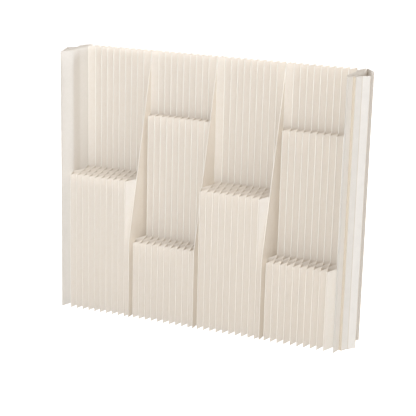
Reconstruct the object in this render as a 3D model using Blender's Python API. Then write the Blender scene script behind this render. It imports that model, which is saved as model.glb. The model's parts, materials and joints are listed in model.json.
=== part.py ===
# Free-standing honeycomb paper screen. Die-cut leaves of paper are glued in strips that
# alternate from leaf to leaf, so the stack draws out like an accordion into four bays of
# open cells. Flat cards divide the bays, and folded covers close the two ends.
# X runs along the screen, Y from its front to its back and Z up, in metres.
# The origin is on the floor, at the middle of the overall length and depth.

import bmesh
import bpy
from mathutils import Vector

# Overall sizes
height = 1.80
depth = 0.43

# Heights of the steps cut into the leaves
low_shelf = 0.54
middle_shelf = 0.96
high_shelf = 1.38

# Spacing along the screen: a tooth is the front edge of two leaves glued together
tooth_pitch = 0.046
tooth_to_divider = 0.0345
tooth_to_end = 0.069
teeth_in_bay = 10

# Paper, card and glue
leaf_thickness = 0.0012
card_thickness = 0.0012
cover_thickness = 0.0020
glue_strip = 0.010
glue_gap = 0.0003
weld_distance = 0.0001

# A leaf zigzags over this many rows between its front and its back edge
row_count = 4
row = depth / row_count

# How far back the slanted front edge of a divider lies at the top
divider_setback = 0.333

# The leaf that closes a bay at an end of the screen: how far it stands in from the end's
# front edge where it passes the third and the last glue line
inner_leaf_third_line = 0.0255
inner_leaf_back = 0.0090

# The leaf outside it: how far it swells out at the second, third and fourth glue line
outer_leaf_swell = 0.0190
outer_leaf_waist = 0.0040

# The covers' rear folds lie so far before or behind the middle and the third glue line, so
# that they stay clear of the outer leaf, whose swells follow the glue lines
middle_line = 2 * row
third_line = 3 * row

# Right cover: the flange glued to the outer leaf, its front fold, and the fan behind it
flange_back = 0.082
flange_front = 0.063
front_fold_out = 0.040
front_fold_back = 0.046
grey_fold_out = 0.0475
grey_fold_back = 0.104
fan_out = 0.103
fan_back = 0.147
right_neck_out = 0.063
right_neck_behind_middle = 0.033
right_tail_out = 0.072
right_tail_before_third = 0.0375

# Left cover: a wide bow, drawn in again behind the middle
bow_out = 0.062
bow_before_middle = 0.015
left_neck_out = 0.014
left_neck_behind_middle = 0.035
left_tail_out = 0.032
left_tail_behind_third = 0.0025

# Heights along the depth: the glue line where each step starts, and how high it is
tall_steps = ((0, middle_shelf), (3, height))
low_steps = ((0, low_shelf), (2, high_shelf), (3, height))
full_height = ((0, height),)
bays = (tall_steps, low_steps, tall_steps, low_steps)

# Finishes as linear colour, roughness
leaf_finish = ((0.78, 0.71, 0.62), 0.85)
card_finish = ((0.79, 0.74, 0.66), 0.85)
cover_finish = ((0.84, 0.81, 0.76), 0.80)

# Offsets of a sheet's middle: from the plane where two leaves are bonded in one piece, from
# the plane where a leaf meets its neighbour, and from the middle of a divider
bond_offset = leaf_thickness / 2
leaf_offset = (glue_gap + leaf_thickness) / 2
card_offset = (glue_gap + card_thickness) / 2
leaf_on_card = card_offset + card_thickness / 2 + glue_gap + leaf_thickness / 2
cover_on_leaf = leaf_thickness / 2 + glue_gap + cover_thickness / 2

# Overall length, from the outermost point of the left cover to that of the right one
bay_teeth_length = (teeth_in_bay - 1) * tooth_pitch
screen_length = (len(bays) * bay_teeth_length + 2 * tooth_to_end
                 + 2 * (len(bays) - 1) * tooth_to_divider)
left_reach = bow_out + leaf_offset + cover_on_leaf
right_reach = fan_out + leaf_offset + cover_on_leaf
left_end_x = (left_reach - right_reach - screen_length) / 2
right_end_x = left_end_x + screen_length
front_y = -depth / 2


def clear_scene():
    for thing in list(bpy.data.objects):
        bpy.data.objects.remove(thing, do_unlink=True)


def finish(name, look):
    colour, roughness = look
    material = bpy.data.materials.new(name)
    material.use_nodes = True
    shader = material.node_tree.nodes["Principled BSDF"]
    shader.inputs["Base Color"].default_value = (*colour, 1.0)
    shader.inputs["Roughness"].default_value = roughness
    shader.inputs["Metallic"].default_value = 0.0
    return material


def carrier(name, x, parent=None):
    """An empty that carries one sliding group, standing where the group's own end lies."""
    empty = bpy.data.objects.new(name, None)
    bpy.context.collection.objects.link(empty)
    place(empty, x, parent)
    return empty


def place(thing, x, parent):
    """Stands a thing at x along the screen, with its front edge on the screen's front."""
    thing.parent = parent
    if parent is None:
        thing.location = (x, front_y, 0)
    else:
        thing.location = (x - world_x(parent), 0, 0)


def world_x(thing):
    x = 0
    while thing is not None:
        x += thing.location.x
        thing = thing.parent
    return x


def sheet_object(name, mesh, x, parent):
    thing = bpy.data.objects.new(name, mesh)
    bpy.context.collection.objects.link(thing)
    place(thing, x, parent)
    return thing


def glue_line(index):
    """Where a glue line starts and ends, measured back from the front edge."""
    if index == 0:
        return 0, glue_strip
    if index == row_count:
        return depth - glue_strip, depth
    middle = index * row
    return middle - glue_strip / 2, middle + glue_strip / 2


def zigzag(places):
    """Plan of a leaf that lies at the given x on each glue line and runs straight between."""
    points = []
    for index, x in enumerate(places):
        start, end = glue_line(index)
        points += [(x, start), (x, end)]
    return points


def alternate(tooth_x, bulge_x):
    """Places of a leaf that lies on its tooth at even glue lines and bulges at odd ones."""
    return [bulge_x if index % 2 else tooth_x for index in range(row_count + 1)]


def offset_line(points, distance):
    """The plan line moved sideways by a distance, mitred at its folds."""
    line = [Vector(point) for point in points]
    moved = []
    for index, point in enumerate(line):
        before = line[max(index - 1, 0)]
        after = line[min(index + 1, len(line) - 1)]
        into = (point - before).normalized() if index else (after - point).normalized()
        out = (after - point).normalized() if point != after else into
        side = Vector((into.y + out.y, -into.x - out.x)).normalized()
        moved.append(point + side * distance / side.dot(Vector((into.y, -into.x))))
    return moved


def foot(bm, points, thickness):
    """The strip of floor under a folded sheet of one thickness."""
    right = offset_line(points, thickness / 2)
    left = offset_line(points, -thickness / 2)
    rails = [[bm.verts.new((p.x, p.y, 0)) for p in side] for side in (right, left)]
    for index in range(len(points) - 1):
        near, far = index, index + 1
        bm.faces.new((rails[0][near], rails[1][near], rails[1][far], rails[0][far]))


def stand(bm, steps):
    """Raises the strips to their height, step by step from the front to the back."""
    top = bm.faces[:]
    below = 0
    for index, level in steps:
        start = glue_line(index)[0]
        base = [face for face in top if face.calc_center_median().y > start]
        top = raise_faces(bm, base, (0, 0, level - below))
        if below:
            bmesh.ops.delete(bm, geom=base, context="FACES")
        below = level


def raise_faces(bm, faces, travel):
    """Extrudes faces by a vector, leaving them where they were, and returns the new ones."""
    made = bmesh.ops.extrude_face_region(bm, geom=faces)["geom"]
    verts = [part for part in made if isinstance(part, bmesh.types.BMVert)]
    bmesh.ops.translate(bm, vec=travel, verts=verts)
    return [part for part in made if isinstance(part, bmesh.types.BMFace)]


def finished_mesh(bm, name, material):
    bmesh.ops.recalc_face_normals(bm, faces=bm.faces[:])
    mesh = bpy.data.meshes.new(name)
    bm.to_mesh(mesh)
    bm.free()
    mesh.materials.append(material)
    return mesh


def folded_sheets(name, plans, thickness, steps, material):
    """Folded sheets standing on the floor, bonded wherever their plans run side by side."""
    bm = bmesh.new()
    for points in plans:
        foot(bm, points, thickness)
    bmesh.ops.remove_doubles(bm, verts=bm.verts[:], dist=weld_distance)
    stand(bm, steps)
    return finished_mesh(bm, name, material)


def leaf_pair(name, left_bulge, right_bulge, steps, material):
    """Two leaves bonded at the tooth, each swelling to its neighbour at the odd glue lines."""
    left = zigzag(alternate(-bond_offset, -left_bulge))
    right = zigzag(alternate(bond_offset, right_bulge))
    return folded_sheets(name, (left, right), leaf_thickness, steps, material)


def divider_card(name, side, material):
    """A flat card with a slanted front edge, from the low shelf's front up to the top."""
    bm = bmesh.new()
    outline = ((0, 0), (depth, 0), (depth, height), (divider_setback, height), (0, low_shelf))
    inner = side * glue_gap / 2
    face = bm.faces.new([bm.verts.new((inner, y, z)) for y, z in outline])
    raise_faces(bm, [face], (side * card_thickness, 0, 0))
    return finished_mesh(bm, name, material)


def bulge(index, beside_end):
    """How far a tooth's outer leaf swells: to the next pair, a divider card or an end leaf."""
    if index not in (0, teeth_in_bay):
        return tooth_pitch / 2 - leaf_offset
    if beside_end:
        return tooth_to_end / 2 - leaf_offset
    return tooth_to_divider - leaf_on_card


def build_bay(number, first_x, steps, parent, material):
    """Ten pairs of leaves. Pairs between two others share one mesh."""
    shared = None
    for index in range(teeth_in_bay):
        left = bulge(index, number == 1)
        right = bulge(index + 1, number == len(bays))
        name = f"bay_{number}_leaf_pair_{index + 1:02d}"
        inner = 0 < index < teeth_in_bay - 1
        if inner and shared is None:
            shared = leaf_pair(f"bay_{number}_leaves", left, right, steps, material)
        mesh = shared if inner else leaf_pair(name, left, right, steps, material)
        sheet_object(name, mesh, first_x + index * tooth_pitch, parent)


def inner_end_leaf(side):
    """Plan of the leaf that faces the bay; side is +1 where the bay lies towards +X."""
    contact = tooth_to_end / 2 - leaf_offset
    swell = [leaf_offset, contact, inner_leaf_third_line, contact, inner_leaf_back]
    return zigzag([side * out for out in swell])


def outer_end_leaf(side):
    """Plan of the leaf glued behind it, swelling away from the bay."""
    swell = [leaf_offset, outer_leaf_swell, outer_leaf_waist, outer_leaf_swell, leaf_offset]
    return zigzag([side * out for out in swell])


def along(points, y):
    """The x of a plan line at a distance y behind the front."""
    for (x0, y0), (x1, y1) in zip(points, points[1:]):
        if y0 <= y <= y1 and y1 > y0:
            return x0 + (x1 - x0) * (y - y0) / (y1 - y0)
    return points[-1][0]


def right_cover():
    """Plan of the right cover: a flange on the outer leaf, a front fold and a fan."""
    leaf = outer_end_leaf(1)
    lean = (along(leaf, flange_back) - along(leaf, flange_front)) / (flange_back - flange_front)
    clear = cover_on_leaf * (1 + lean * lean) ** 0.5
    back = leaf_offset + cover_on_leaf
    return [
        (along(leaf, flange_back) + clear, flange_back),
        (along(leaf, flange_front) + clear, flange_front),
        (front_fold_out, front_fold_back),
        (grey_fold_out, grey_fold_back),
        (fan_out, fan_back),
        (right_neck_out, middle_line + right_neck_behind_middle),
        (right_tail_out, third_line - right_tail_before_third),
        (back, depth - glue_strip),
        (back, depth),
    ]


def left_cover():
    """Plan of the left cover: a bow from the front edge, and a second, lower one."""
    edge = leaf_offset + cover_on_leaf
    return [
        (-edge, 0),
        (-edge, glue_strip),
        (-bow_out, middle_line - bow_before_middle),
        (-left_neck_out, middle_line + left_neck_behind_middle),
        (-left_tail_out, third_line + left_tail_behind_third),
        (-edge, depth - glue_strip),
        (-edge, depth),
    ]


def build_end(label, side, x, cover_plan, parent, leaf_material, cover_material):
    """The three sheets that close one end; side is +1 where the bay lies towards +X."""
    plans = {
        f"{label}_end_inner_leaf": (inner_end_leaf(side), leaf_thickness, leaf_material),
        f"{label}_end_outer_leaf": (outer_end_leaf(-side), leaf_thickness, leaf_material),
        f"{label}_end_cover": (cover_plan, cover_thickness, cover_material),
    }
    for name, (points, thickness, material) in plans.items():
        mesh = folded_sheets(name, (points,), thickness, full_height, material)
        sheet_object(name, mesh, x, parent)


def build_screen():
    clear_scene()
    paper = finish("leaf_paper", leaf_finish)
    card = finish("divider_card", card_finish)
    cover = finish("end_cover", cover_finish)
    parent = carrier("left_end", left_end_x)
    build_end("left", 1, left_end_x, left_cover(), parent, paper, cover)
    first_x = left_end_x + tooth_to_end
    for number, steps in enumerate(bays, 1):
        build_bay(number, first_x, steps, parent, paper)
        last_x = first_x + bay_teeth_length
        if number == len(bays):
            break
        divider_x = last_x + tooth_to_divider
        parent = carrier(f"divider_{number}", divider_x, parent)
        for label, side in (("left", -1), ("right", 1)):
            name = f"divider_{number}_{label}_card"
            sheet_object(name, divider_card(name, side, card), divider_x, parent)
        first_x = divider_x + tooth_to_divider
    parent = carrier("right_end", right_end_x, parent)
    build_end("right", -1, right_end_x, right_cover(), parent, paper, cover)


build_screen()
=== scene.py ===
# Looks of a free-standing honeycomb paper screen: cream paper leaves with stepped die cuts,
# slanted divider cards and folded card covers, on a white studio floor.
# Metres, X along the screen, Y from its front to its back, Z up.

import json
import math

import bpy
import numpy as np
from mathutils import Matrix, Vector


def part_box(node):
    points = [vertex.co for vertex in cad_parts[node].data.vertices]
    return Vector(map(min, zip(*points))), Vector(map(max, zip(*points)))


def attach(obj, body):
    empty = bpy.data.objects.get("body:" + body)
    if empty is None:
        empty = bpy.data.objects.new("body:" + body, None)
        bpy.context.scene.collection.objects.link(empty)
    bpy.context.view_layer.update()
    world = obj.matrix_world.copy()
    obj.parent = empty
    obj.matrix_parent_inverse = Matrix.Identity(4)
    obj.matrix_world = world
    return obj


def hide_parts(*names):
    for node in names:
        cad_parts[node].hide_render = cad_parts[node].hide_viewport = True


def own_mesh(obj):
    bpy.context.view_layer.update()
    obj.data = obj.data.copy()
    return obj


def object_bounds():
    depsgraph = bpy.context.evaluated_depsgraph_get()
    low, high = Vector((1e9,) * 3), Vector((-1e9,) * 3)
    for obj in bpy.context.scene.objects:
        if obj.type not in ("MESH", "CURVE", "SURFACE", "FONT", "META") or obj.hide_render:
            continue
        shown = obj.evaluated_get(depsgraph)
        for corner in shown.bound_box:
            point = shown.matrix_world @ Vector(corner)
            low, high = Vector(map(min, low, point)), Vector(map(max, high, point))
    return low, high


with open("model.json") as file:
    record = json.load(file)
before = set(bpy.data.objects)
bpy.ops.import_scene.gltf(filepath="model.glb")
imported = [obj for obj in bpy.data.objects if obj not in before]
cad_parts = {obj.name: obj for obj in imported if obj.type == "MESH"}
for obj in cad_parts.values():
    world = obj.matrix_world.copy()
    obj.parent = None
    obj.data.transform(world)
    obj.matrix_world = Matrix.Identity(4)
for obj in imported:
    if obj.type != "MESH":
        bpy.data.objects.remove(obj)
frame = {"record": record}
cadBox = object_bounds()
print("frame loaded")

overall = {
    "front": cadBox[0].y,
    "depth": cadBox[1].y - cadBox[0].y,
    "height": cadBox[1].z - cadBox[0].z,
    "levelSpacing": 0.075,  # rows of faces up a sheet
    "sharpFold": math.radians(50),  # above this, an edge shows as a crisp cut
    "bellSamples": 33,
}


# Colour from a hex text, as the eye sees it, to linear light
def linearColour(hexText, alpha=1.0):
    parts = np.array([int(hexText[i:i + 2], 16) for i in (0, 2, 4)]) / 255
    low = parts / 12.92
    high = ((parts + 0.055) / 1.055) ** 2.4
    return (*np.where(parts <= 0.04045, low, high).tolist(), alpha)


# One node with its settings by name or socket number, and its links as socket: (node, output)
def addNode(tree, kind, settings=None, links=None):
    node = tree.nodes.new(kind)
    for key, value in (settings or {}).items():
        if isinstance(key, int) or key in node.inputs:
            node.inputs[key].default_value = value
        else:
            setattr(node, key, value)
    for key, (source, output) in (links or {}).items():
        tree.links.new(source.outputs[output], node.inputs[key])
    return node


# What all the papers and boards share: how wide and how fine the cloudiness and the fibres
# show, and the shine of cellulose
pulp = {
    "cloudRange": (0.3, 0.7),
    "cloudDetail": 3.0,
    "cloudRoughness": 0.55,
    "fibreRange": (0.35, 0.65),
    "fibreDetail": 4.0,
    "fibreRoughness": 0.6,
    "grainStretch": (1.0, 1.0, 0.35),  # drawn out along the web, which runs up the sheet
    "bumpHeight": 0.0003,
    "ior": 1.5,
}


# Uncoated wood-free paper and board: a matt sheet, slightly cloudy where the pulp settled
# thicker, with a felt-like grain. A cut edge shows the pale, loose inside of the sheet.
# Fibres are 1 to 3 mm long and far too thin to show, so the grain is drawn at fibre length.
# A thin sheet lets some light through; this is painted as a faint warm glow, an even emission over
# the whole sheet that lightens its shade.
def paperMaterial(name, look):
    material = bpy.data.materials.new(name)
    material.use_nodes = True
    tree = material.node_tree
    shader = tree.nodes["Principled BSDF"]
    shader.inputs["Roughness"].default_value = look["roughness"]
    shader.inputs["IOR"].default_value = pulp["ior"]
    place = addNode(tree, "ShaderNodeTexCoord")
    stretch = addNode(tree, "ShaderNodeMapping", {"Scale": pulp["grainStretch"]},
                      {"Vector": (place, "Object")})
    cloud = addNode(tree, "ShaderNodeTexNoise",
                    {"Scale": 1 / look["cloudSize"], "Detail": pulp["cloudDetail"],
                     "Roughness": pulp["cloudRoughness"]},
                    {"Vector": (place, "Object")})
    cloudTone = addNode(tree, "ShaderNodeMapRange",
                        {"From Min": pulp["cloudRange"][0], "From Max": pulp["cloudRange"][1]},
                        {"Value": (cloud, "Fac")})
    sheet = addNode(tree, "ShaderNodeMix",
                    {"data_type": "RGBA", 6: linearColour(look["thick"]),
                     7: linearColour(look["thin"])},
                    {0: (cloudTone, "Result")})
    grain = addNode(tree, "ShaderNodeTexNoise",
                    {"Scale": 1 / look["fibreLength"], "Detail": pulp["fibreDetail"],
                     "Roughness": pulp["fibreRoughness"]},
                    {"Vector": (stretch, "Vector")})
    grainTone = addNode(tree, "ShaderNodeMapRange",
                        {"From Min": pulp["fibreRange"][0], "From Max": pulp["fibreRange"][1],
                         "To Max": look["grainDepth"]},
                        {"Value": (grain, "Fac")})
    grained = addNode(tree, "ShaderNodeMix",
                      {"data_type": "RGBA", 7: linearColour(look["fibre"])},
                      {0: (grainTone, "Result"), 6: (sheet, 2)})
    cut = addNode(tree, "ShaderNodeAttribute", {"attribute_name": "cutEdge"})
    cutShare = addNode(tree, "ShaderNodeMath",
                       {"operation": "MULTIPLY", 1: look["edgeShare"]},
                       {0: (cut, "Fac")})
    edged = addNode(tree, "ShaderNodeMix",
                    {"data_type": "RGBA", 7: linearColour(look["edge"])},
                    {0: (cutShare, 0), 6: (grained, 2)})
    # Painted light and shade: along the marked lines the colour is mixed towards a painted tone, a
    # painted highlight on the leaves' glue strips and painted shade on the covers' folds and
    # turned-in leg
    fold = addNode(tree, "ShaderNodeAttribute", {"attribute_name": "foldLine"})
    foldShare = addNode(tree, "ShaderNodeMath",
                        {"operation": "MULTIPLY", 1: look["foldShare"]},
                        {0: (fold, "Fac")})
    folded = addNode(tree, "ShaderNodeMix",
                     {"data_type": "RGBA", 7: linearColour(look["fold"])},
                     {0: (foldShare, 0), 6: (edged, 2)})
    tree.links.new(folded.outputs[2], shader.inputs["Base Color"])
    felt = addNode(tree, "ShaderNodeBump",
                   {"Strength": look["bumpStrength"], "Distance": pulp["bumpHeight"]},
                   {"Height": (grain, "Fac")})
    tree.links.new(felt.outputs["Normal"], shader.inputs["Normal"])
    # Painted glow: an even warm emission, no lamp, that stands in for light let through the sheet
    shader.inputs["Emission Color"].default_value = linearColour(look["paintedGlow"])
    shader.inputs["Emission Strength"].default_value = look["paintedGlowShare"]
    return material


leafPaper = paperMaterial("uncoated cream paper", {
    "thick": "f6f1e9",
    "thin": "f8f4ee",
    "fibre": "efe8de",
    "edge": "fefcf6",
    # painted highlight: near-white along the glue strips, where light catches them
    "fold": "fefcf6",
    "edgeShare": 1.0,
    "foldShare": 0.9,
    # painted glow standing in for light let through the paper
    "paintedGlow": "ffead5",
    "paintedGlowShare": 0.045,
    "cloudSize": 0.030,
    "fibreLength": 0.0022,
    "grainDepth": 0.35,
    "roughness": 0.82,
    "bumpStrength": 0.25,
})

dividerCard = paperMaterial("uncoated cream card", {
    "thick": "f7f0e5",
    "thin": "f9f3ea",
    "fibre": "f0e7d9",
    "edge": "fcfaf6",
    "fold": "fcfaf6",
    "edgeShare": 0.8,
    "foldShare": 0.8,
    "paintedGlow": "ffe9d2",
    "paintedGlowShare": 0.03,
    "cloudSize": 0.040,
    "fibreLength": 0.0025,
    "grainDepth": 0.3,
    "roughness": 0.78,
    "bumpStrength": 0.25,
})

endPaper = paperMaterial("uncoated white paper", {
    "thick": "ebe8e2",
    "thin": "eeebe6",
    "fibre": "e4e0d9",
    "edge": "fcfaf6",
    "fold": "f4efe8",
    "edgeShare": 1.0,
    "foldShare": 0.0,
    "paintedGlow": "ffe9d2",
    "paintedGlowShare": 0.04,
    "cloudSize": 0.030,
    "fibreLength": 0.0022,
    "grainDepth": 0.35,
    "roughness": 0.82,
    "bumpStrength": 0.25,
})

coverBoard = paperMaterial("folding boxboard, off-white", {
    "thick": "e5e1db",
    "thin": "e9e5df",
    "fibre": "ded9d1",
    "edge": "ece5da",
    "fold": "cdbfa9",  # painted shade: tan along the folds and over the turned-in leg, where the board lies in shade in its grooves
    "edgeShare": 0.8,
    "foldShare": 0.8,
    "paintedGlow": "ffe9d2",
    "paintedGlowShare": 0.03,
    "cloudSize": 0.045,
    "fibreLength": 0.0025,
    "grainDepth": 0.3,
    "roughness": 0.70,
    "bumpStrength": 0.2,
})
print("papers made")


# A cosine bell: places from -1 to 1 and their weights, 1 + cos(pi * place), which add up to 1
def cosineBell(samples):
    reach = np.linspace(-1, 1, samples)
    weights = 1 + np.cos(math.pi * reach)
    return reach, weights / weights.sum()


# A folded plan with its folds rounded: the straight-line plan through the points, averaged
# over a cosine bell that reaches the softness to either side. Beyond the ends it runs level.
def softPlan(points, y, softness):
    corners = np.array(points)
    reach, bell = cosineBell(overall["bellSamples"])
    samples = np.interp(y[:, None] + softness * reach[None, :], corners[:, 1], corners[:, 0])
    return samples @ bell


# Levels up a sheet: evenly spaced between the given heights, which are all kept
def levelsBetween(heights):
    parts = []
    for low, high in zip(heights, heights[1:]):
        count = max(1, round((high - low) / overall["levelSpacing"]))
        parts.append(np.linspace(low, high, count + 1)[:-1])
    return np.concatenate([*parts, heights[-1:]])


# Faces of a sheet with thickness: kept cells of the grid on both sides, and a rim wherever a
# kept cell has no kept neighbour. Rows run up and columns run back.
def sheetFaces(kept, cutFront):
    rows, columns = kept.shape
    across = columns + 1
    back = (rows + 1) * across
    padded = np.pad(kept, 1)
    r, c = np.nonzero(kept)
    near = r * across + c
    far = near + 1
    nearUp = near + across
    farUp = nearUp + 1
    outer = np.stack([near, far, farUp, nearUp], 1)
    inner = np.stack([near, nearUp, farUp, far], 1) + back
    rims, cuts = [], []
    for shift, ends in (((0, -1), (near, nearUp)), ((0, 1), (farUp, far)),
                        ((-1, 0), (far, near)), ((1, 0), (nearUp, farUp))):
        open_ = ~padded[r + 1 + shift[0], c + 1 + shift[1]]
        first, second = ends[0][open_], ends[1][open_]
        rims.append(np.stack([first, second, second + back, first + back], 1))
        cuts.append(cutFront | (c[open_] > 0) | (shift != (0, -1)))
    faces = np.concatenate([outer, inner, *rims])
    isCut = np.concatenate([np.zeros(len(outer) + len(inner)), *cuts])
    return faces, isCut


# One mesh from several sheets. A sheet is its middle surface (rows, columns, 3), the step from
# there to its outer face, which cells are kept, a mask per column for painted highlight and
# painted shade, and if the front end is a cut one. The outer face lies to the right of the
# columns' run, from above.
def sheetObject(name, sheets, material):
    allPoints, allFaces, allCuts, allLightShade = [], [], [], []
    count = 0
    for middle, side, kept, lightShadeMask, cutFront in sheets:
        faces, isCut = sheetFaces(kept, cutFront)
        points = np.concatenate([(middle + side).reshape(-1, 3), (middle - side).reshape(-1, 3)])
        folds = np.tile(np.broadcast_to(lightShadeMask, middle.shape[:2]).ravel(), 2)
        used, faces = np.unique(faces, return_inverse=True)
        allPoints.append(points[used])
        allLightShade.append(folds[used])
        allFaces.append(faces.reshape(-1, 4) + count)
        allCuts.append(isCut)
        count += len(used)
    points = np.concatenate(allPoints)
    faces = np.concatenate(allFaces)
    mesh = bpy.data.meshes.new(name)
    mesh.vertices.add(len(points))
    mesh.vertices.foreach_set("co", points.astype(np.float32).ravel())
    mesh.loops.add(faces.size)
    mesh.loops.foreach_set("vertex_index", faces.astype(np.int32).ravel())
    mesh.polygons.add(len(faces))
    mesh.polygons.foreach_set("loop_start", np.arange(0, faces.size, 4, dtype=np.int32))
    mesh.update(calc_edges=True)
    for mark, domain, parts in (("cutEdge", "FACE", allCuts), ("foldLine", "POINT", allLightShade)):
        mesh.attributes.new(mark, "FLOAT", domain)
        values = np.concatenate(parts).astype(np.float32)
        mesh.attributes[mark].data.foreach_set("value", values)
    mesh.shade_smooth()
    mesh.set_sharp_from_angle(angle=overall["sharpFold"])
    mesh.materials.append(material)
    thing = bpy.data.objects.new(name, mesh)
    bpy.context.collection.objects.link(thing)
    return thing


# The honeycomb. Each leaf lies on its tooth at even glue lines and on its neighbour at odd
# ones. Steps give the glue line where a part of the leaf starts, and how high it stands.
honeycomb = {
    "rows": 4,
    "pairs": 10,
    "pitch": 0.046,
    "glueStrip": 0.010,
    "paper": 0.0012,
    "glueFilm": 0.00004,
    "softness": 0.006,  # a leaf bends out of its glue strip, it isn't creased there
    # how far the painted highlight spreads round a glue strip
    "foldReach": 0.009,
    "bow": 0.0010,  # how far a wall of a cell bellies out between its strips
    "bowSteady": 0.6,  # the share of it that stays, and the share that swings up the leaf
    "bowSwing": 0.4,
    "bowHeight": 1.6,
    "wander": 0.0003,  # how far the stack drifts from even spacing
    "waves": (  # size, radians a metre along X, Y and Z, and start
        (1.0, 21, 0, 2.1, 0),
        (0.7, 47, 0, -3.4, 1.3),
        (0.5, 30, 9, 4.7, 0),
    ),
    "calmEnds": 0.07,
    "closedShare": 0.08,
    "shelves": (0.54, 0.96, 1.38),
    "columnOffsets": (-0.013, -0.010, -0.0075, -0.005, -0.0025, 0.0, 0.0025, 0.005, 0.0075,
                      0.010, 0.013),
    "wallColumns": 5,
}
glueLines = range(honeycomb["rows"] + 1)
lowShelf, middleShelf, highShelf = honeycomb["shelves"]
rowDepth = overall["depth"] / honeycomb["rows"]
stripDepth = honeycomb["glueStrip"]
tallSteps = ((0, middleShelf), (3, overall["height"]))
lowSteps = ((0, lowShelf), (2, highShelf), (3, overall["height"]))
baySteps = (tallSteps, lowSteps, tallSteps, lowSteps)


# Where a glue line starts and ends, back from the front edge
def glueLine(index):
    middle = index * rowDepth
    if index == 0:
        return 0.0, stripDepth
    if index == honeycomb["rows"]:
        return overall["depth"] - stripDepth, overall["depth"]
    return middle - stripDepth / 2, middle + stripDepth / 2


# Columns of a leaf: close together round each glue line, wider between them
def leafColumns():
    offsets = np.array(honeycomb["columnOffsets"])
    centres = [sum(glueLine(i)) / 2 for i in glueLines]
    groups = [centre + offsets for centre in centres]
    for before, after in zip(centres, centres[1:]):
        walls = np.linspace(before + offsets[-1], after + offsets[0], honeycomb["wallColumns"] + 2)
        groups.append(walls[1:-1])
    columns = np.unique(np.round(np.concatenate(groups), 6))
    inside = (columns > 1e-6) & (columns < overall["depth"] - 1e-6)
    return np.concatenate([[0.0], columns[inside], [overall["depth"]]])


# Plan of a leaf: its place on each glue line, level over the strip and straight between
def zigzag(places):
    return [(x, y) for index, x in enumerate(places) for y in glueLine(index)]


# Drift of the stack: a slow sum of three waves along the screen, its depth and its height,
# faded out near the ends of the bay, where the leaves are glued to something flat
def wander(x, y, z, ends):
    fade = np.clip((x - ends[0]) / honeycomb["calmEnds"], 0, 1)
    fade = fade * np.clip((ends[1] - x) / honeycomb["calmEnds"], 0, 1)
    drift = sum(size * np.sin(alongX * x + alongY * y + alongZ * z + start)
                for size, alongX, alongY, alongZ, start in honeycomb["waves"])
    return honeycomb["wander"] * fade * drift


# How near a column is to the middle of a glue strip behind the front one, 1 on it and 0 past
# the reach. It marks where the leaves get their painted highlight.
def nearStrip(y):
    centres = np.array([sum(glueLine(i)) / 2 for i in glueLines[1:]])
    gap = np.abs(y[:, None] - centres[None, :]).min(1)
    return np.clip(1 - gap / honeycomb["foldReach"], 0, 1)


# One leaf as a middle surface: the rounded zigzag, plus a belly of each wall, a sine squared
# from one glue line to the next that swells and fades slowly up the leaf, plus the drift
def leafSheet(places, steps, ends, seed, softness):
    rng = np.random.default_rng(seed)
    y = leafColumns()
    heights = [0.0] + [level for _, level in steps]
    z = levelsBetween(heights)
    plan = softPlan(zigzag(places), y, softness)
    slope = np.gradient(plan, y)
    wall = np.minimum((y / rowDepth).astype(int), honeycomb["rows"] - 1)
    bellyShape = np.sin(math.pi * np.clip((y - wall * rowDepth) / rowDepth, 0, 1)) ** 2
    size = rng.uniform(-1, 1, honeycomb["rows"])[wall]
    phase = rng.uniform(0, 2 * math.pi, honeycomb["rows"])[wall]
    swing = np.cos(2 * math.pi * z[:, None] / honeycomb["bowHeight"] + phase[None, :])
    swell = honeycomb["bowSteady"] + honeycomb["bowSwing"] * swing
    belly = honeycomb["bow"] * bellyShape[None, :] * size[None, :] * swell
    x = plan[None, :] + belly
    x = x + wander(x, y[None, :], z[:, None], ends)
    middle = np.stack(np.broadcast_arrays(x, y[None, :] + overall["front"], z[:, None]), -1)
    side = np.zeros((1, len(y), 3))
    side[..., 0] = honeycomb["paper"] / 2 * np.sqrt(1 + slope ** 2)
    cellY = (y[1:] + y[:-1]) / 2
    cellZ = (z[1:] + z[:-1]) / 2
    top = np.zeros(len(cellY))
    for index, level in steps:
        top[cellY > glueLine(index)[0]] = level
    kept = cellZ[:, None] < top[None, :]
    return middle, side, kept, nearStrip(y), False


# What each node folds with, and the plane it flattens towards, as the frame's joints say
folding = {}
for joint in frame["record"]["behaviour"]["joints"]:
    for entry in joint.get("deforming_nodes", []):
        folding[entry["node"]] = (joint["name"], entry["fixed_end_x_m"])
bodyOf = {node: body
          for body, nodes in frame["record"]["behaviour"]["bodies"].items() for node in nodes}


# Hands a finished piece to the frame: puts it on its body, hides the node it stands for, and gives
# a piece whose node folds a mesh of its own
def mount(piece, node):
    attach(piece, bodyOf[node])
    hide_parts(node)
    if node in folding:
        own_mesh(piece)


# A bay's ends, from the outer faces of what its first and last pair touch
def bayEnds(number):
    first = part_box(f"bay_{number}_leaf_pair_01")[0].x
    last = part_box(f"bay_{number}_leaf_pair_{honeycomb['pairs']:02d}")[1].x
    return first, last


half = honeycomb["paper"] / 2
bond = half + honeycomb["glueFilm"] / 2
for number, steps in enumerate(baySteps, 1):
    ends = bayEnds(number)
    low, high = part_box(f"bay_{number}_leaf_pair_02")
    secondTooth = (low.x + high.x) / 2
    for index in range(honeycomb["pairs"]):
        node = f"bay_{number}_leaf_pair_{index + 1:02d}"
        low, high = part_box(node)
        tooth = secondTooth + (index - 1) * honeycomb["pitch"]
        leftPlaces = [low.x + half if i % 2 else tooth - bond for i in glueLines]
        rightPlaces = [high.x - half if i % 2 else tooth + bond for i in glueLines]
        seed = 100 * number + 2 * index
        sheets = [leafSheet(leftPlaces, steps, ends, seed, honeycomb["softness"]),
                  leafSheet(rightPlaces, steps, ends, seed + 1, honeycomb["softness"])]
        piece = sheetObject(f"paper_{node}", sheets, leafPaper)
        mount(piece, node)
    print(f"bay {number} made")


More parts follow.
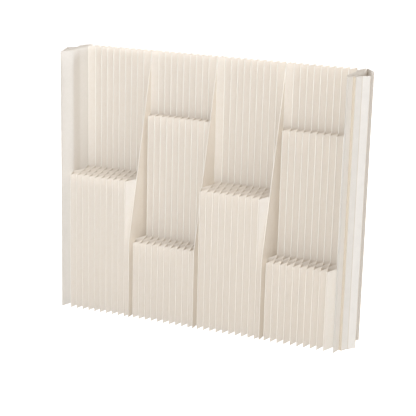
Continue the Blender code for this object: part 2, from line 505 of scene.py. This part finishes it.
# The sheets that close the two ends. Swells are measured from the plane of the end's front
# edge, towards the bay for the inner leaf and away from it for the outer one.
endSheets = {
    "innerThird": 0.0255,
    "innerBack": 0.0090,
    "innerContact": 0.0352,  # 1.4 mm past the leaf it lies on, which the rounding takes off
    "edgeOffset": 0.00075,
    "outerSwell": 0.0190,
    "outerWaist": 0.0040,
    "softness": 0.035,
    "innerSeed": 901,
    "outerSeed": 911,
}
leftEndX = folding["left_end_inner_leaf"][1]
rightEndX = folding["right_end_inner_leaf"][1]
fullHeight = ((0, overall["height"]),)
innerSwells = [endSheets["edgeOffset"], endSheets["innerContact"], endSheets["innerThird"],
               endSheets["innerContact"], endSheets["innerBack"]]
outerSwells = [endSheets["edgeOffset"], endSheets["outerSwell"], endSheets["outerWaist"],
               endSheets["outerSwell"], endSheets["edgeOffset"]]
for label, endX, side in (("left", leftEndX, 1), ("right", rightEndX, -1)):
    calm = (endX, endX)  # no drift, as at the ends of a bay
    for name, swells, turn in (("inner", innerSwells, side), ("outer", outerSwells, -side)):
        places = [endX + turn * swell for swell in swells]
        node = f"{label}_end_{name}_leaf"
        seed = endSheets[f"{name}Seed"] + side
        sheet = leafSheet(places, fullHeight, calm, seed, endSheets["softness"])
        piece = sheetObject(f"paper_{node}", [sheet], endPaper)
        mount(piece, node)
print("end leaves made")


# Divider cards: flat, with a slanted front edge from the low shelf up to the top
divider = {
    "setback": 0.333,
    "card": 0.0012,
    "columns": 24,
}


# A card's middle plane, drawn out from its slanted front edge to its back edge
def cardSheet(x):
    z = levelsBetween([0.0, lowShelf, overall["height"]])
    rise = np.clip((z - lowShelf) / (overall["height"] - lowShelf), 0, 1)
    front = divider["setback"] * rise
    across = np.linspace(0, 1, divider["columns"] + 1)
    y = front[:, None] + (overall["depth"] - front[:, None]) * across[None, :]
    middle = np.stack(np.broadcast_arrays(x, y + overall["front"], z[:, None]), -1)
    kept = np.ones((len(z) - 1, len(across) - 1), bool)
    side = np.array([divider["card"] / 2, 0, 0])
    return middle, side, kept, np.zeros(len(across)), True


for number in (1, 2, 3):
    for side in ("left", "right"):
        node = f"divider_{number}_{side}_card"
        low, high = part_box(node)
        piece = sheetObject(f"card_{node}", [cardSheet((low.x + high.x) / 2)], dividerCard)
        mount(piece, node)
print("dividers made")


# Covers: board scored and folded along upright lines, as places (out from the end, back)
cover = {
    "board": 0.0014,
    "glue": 0.0003,
    "flange": (0.0900, 0.0740),  # from where to where it lies on the outer leaf
    "right": [(0.0340, 0.0640), (0.0610, 0.1120), (0.1025, 0.1530), (0.0600, 0.2950),
              (0.0780, 0.3120)],
    "left": [(0.0620, 0.2000), (0.0140, 0.2500), (0.0320, 0.3250)],
    "paintedShadeLegs": {"right": 1, "left": -1},  # the turned-in leg that gets painted shade, as it lies deep in a groove
    "softness": 0.0022,
    "bellSamples": 21,
    # how far the painted shade spreads from a fold
    "foldReach": 0.0035,
    "columnStep": 0.006,
    "foldSteps": (-3.5, -2.0, -1.0, 0.0, 1.0, 2.0, 3.5),  # columns round a fold, in mm
    "mm": 0.001,
}


# A board carried along its plan. The plan's corners are rounded by averaging both of its
# coordinates along its own length, and its faces lie off the middle line along the normal.
def coverSheet(points, paintedShadeLeg):
    corners = np.array(points)
    legs = np.linalg.norm(np.diff(corners, axis=0), axis=1)
    run = np.concatenate([[0], np.cumsum(legs)])
    near = run[1:-1, None] + np.array(cover["foldSteps"])[None, :] * cover["mm"]
    even = np.arange(0, run[-1], cover["columnStep"])
    clear = np.abs(even[:, None] - run[None, 1:-1]).min(1) > cover["columnStep"]
    along = np.unique(np.concatenate([near.ravel(), even[clear], [0, run[-1]]]))
    along = along[(along >= 0) & (along <= run[-1])]
    reach, bell = cosineBell(cover["bellSamples"])
    spots = along[:, None] + cover["softness"] * reach[None, :]
    plan = np.stack([np.interp(spots, run, corners[:, axis]) @ bell for axis in (0, 1)], 1)
    plan[0], plan[-1] = corners[0], corners[-1]
    tangent = np.gradient(plan, axis=0)
    tangent = tangent / np.linalg.norm(tangent, axis=1)[:, None]
    z = levelsBetween([0.0, overall["height"]])
    middle = np.stack(np.broadcast_arrays(plan[None, :, 0], plan[None, :, 1] + overall["front"],
                                          z[:, None]), -1)
    side = np.stack([tangent[:, 1], -tangent[:, 0], np.zeros(len(along))], 1) * cover["board"] / 2
    # Painted shade along each fold and over the turned-in leg
    gap = np.abs(along[:, None] - run[None, 1:-1]).min(1)
    lightShadeMask = np.clip(1 - gap / cover["foldReach"], 0, 1)
    if paintedShadeLeg >= 0:
        lightShadeMask[(along >= run[paintedShadeLeg]) & (along <= run[paintedShadeLeg + 1])] = 1
    kept = np.ones((len(z) - 1, len(along) - 1), bool)
    return middle, side[None, :, :], kept, lightShadeMask, True


onLeaf = honeycomb["paper"] / 2 + cover["glue"] + cover["board"] / 2
edgeOut = endSheets["edgeOffset"] + onLeaf
stripBack = overall["depth"] - stripDepth
flangeY = np.array(cover["flange"])
flangeOut = softPlan(zigzag(outerSwells), flangeY, endSheets["softness"]) + onLeaf
coverPlans = {
    "left": [(edgeOut, 0.0), (edgeOut, stripDepth), *cover["left"], (edgeOut, stripBack),
             (edgeOut, overall["depth"])],
    "right": [*zip(flangeOut, flangeY), *cover["right"], (edgeOut, stripBack),
              (edgeOut, overall["depth"])],
}
for label, endX, side in (("left", leftEndX, -1), ("right", rightEndX, 1)):
    node = f"{label}_end_cover"
    plan = [(endX + side * out, back) for out, back in coverPlans[label]]
    sheet = coverSheet(plan, cover["paintedShadeLegs"][label])
    piece = sheetObject(f"board_{node}", [sheet], coverBoard)
    mount(piece, node)
print("covers made")


# Floor, wide enough to fill the view, and the studio's light
studio = {
    "floorSize": 90.0,
    "floorColour": "f7f6f4",
    "floorRoughness": 0.9,
    "floorGlow": 0.9,  # seen by the camera alone, as the sweep is lit much brighter there
    "ambient": 0.28,
    "ambientColour": "fff3e9",
    "target": (0.0, 0.0, 0.8),
    "softboxes": {  # place, size, watts and colour
        "front": ((1.9, -9.1, 2.8), 3.2, 512.0, "ecf5ff"),
        "side": ((7.0, -2.0, 5.5), 2.6, 60.0, "fff8ef"),
        "top": ((1.8, -0.6, 5.6), 4.0, 75.0, "fff8ef"),
        "back": ((4.5, 8.5, 3.0), 5.0, 620.0, "f4f9ff"),
        "left": ((-6.5, 3.6, 3.0), 4.0, 260.0, "f4f9ff"),
    },
}


# Seamless white paper sweep: near-white, matt, with a little glow so it stays white far out
def makeFloor():
    size = studio["floorSize"] / 2
    mesh = bpy.data.meshes.new("floor")
    mesh.from_pydata([(-size, -size, 0), (size, -size, 0), (size, size, 0), (-size, size, 0)], [],
                     [(0, 1, 2, 3)])
    floor = bpy.data.objects.new("floor", mesh)
    bpy.context.collection.objects.link(floor)
    material = bpy.data.materials.new("white studio sweep")
    material.use_nodes = True
    tree = material.node_tree
    shader = tree.nodes["Principled BSDF"]
    shader.inputs["Base Color"].default_value = linearColour(studio["floorColour"])
    shader.inputs["Roughness"].default_value = studio["floorRoughness"]
    shader.inputs["Emission Color"].default_value = (1, 1, 1, 1)
    path = addNode(tree, "ShaderNodeLightPath")
    glow = addNode(tree, "ShaderNodeMath", {"operation": "MULTIPLY", 1: studio["floorGlow"]},
                   {0: (path, "Is Camera Ray")})
    tree.links.new(glow.outputs[0], shader.inputs["Emission Strength"])
    mesh.materials.append(material)


# The room's light comes evenly from all round, and the camera sees plain white behind
def makeWorld():
    world = bpy.data.worlds.new("white room")
    world.use_nodes = True
    tree = world.node_tree
    background = tree.nodes["Background"]
    path = addNode(tree, "ShaderNodeLightPath")
    strength = addNode(tree, "ShaderNodeMapRange",
                       {"To Min": studio["ambient"], "To Max": 1.0},
                       {"Value": (path, "Is Camera Ray")})
    colour = addNode(tree, "ShaderNodeMix",
                     {"data_type": "RGBA", 6: linearColour(studio["ambientColour"]),
                      7: (1, 1, 1, 1)},
                     {0: (path, "Is Camera Ray")})
    tree.links.new(colour.outputs[2], background.inputs["Color"])
    tree.links.new(strength.outputs["Result"], background.inputs["Strength"])
    bpy.context.scene.world = world


# The matrix that sets a thing at a place and turns its -Z towards a target
def aimed(place, target):
    back = np.array(place, float) - np.array(target, float)
    back = back / np.linalg.norm(back)
    right = np.cross((0, 0, 1), back)
    right = right / np.linalg.norm(right)
    up = np.cross(back, right)
    matrix = Matrix.Identity(4)
    for row in range(3):
        matrix[row][0], matrix[row][1], matrix[row][2] = right[row], up[row], back[row]
        matrix[row][3] = place[row]
    return matrix


def softbox(side, place, size, watts, colour):
    light = bpy.data.lights.new(f"{side} softbox", "AREA")
    light.size = size
    light.energy = watts
    light.color = linearColour(colour)[:3]
    lamp = bpy.data.objects.new(f"{side} softbox", light)
    bpy.context.collection.objects.link(lamp)
    lamp.matrix_world = aimed(place, studio["target"])


makeFloor()
makeWorld()
for side, settings in studio["softboxes"].items():
    softbox(side, *settings)
bpy.context.scene.view_settings.view_transform = "Standard"
print("studio lit")


# The camera: the straight, unshifted one that comes nearest the photograph's perspective
camera = {
    "place": (3.3014, -7.8072, 3.1116),
    "yaw": math.radians(23.02),  # turned left from straight along +Y
    "pitch": math.radians(15.28),  # looking down
    "roll": math.radians(1.415),
    "lensPixels": 1303.2,
    "framePixels": 416,
    "sensor": 36.0,
}


def makeCamera():
    yaw, pitch, roll = camera["yaw"], camera["pitch"], camera["roll"]
    level = np.array([math.cos(yaw), math.sin(yaw), 0])
    ahead = np.array([-math.sin(yaw) * math.cos(pitch), math.cos(yaw) * math.cos(pitch),
                      -math.sin(pitch)])
    upright = np.cross(level, ahead)
    right = math.cos(roll) * level + math.sin(roll) * upright
    up = math.cos(roll) * upright - math.sin(roll) * level
    data = bpy.data.cameras.new("camera")
    data.sensor_width = camera["sensor"]
    data.lens = camera["lensPixels"] / camera["framePixels"] * camera["sensor"]
    data.clip_end = studio["floorSize"]
    thing = bpy.data.objects.new("camera", data)
    bpy.context.collection.objects.link(thing)
    matrix = Matrix.Identity(4)
    for row in range(3):
        matrix[row][0], matrix[row][1], matrix[row][2] = right[row], up[row], -ahead[row]
        matrix[row][3] = camera["place"][row]
    thing.matrix_world = matrix
    bpy.context.scene.camera = thing


makeCamera()
print("camera placed")
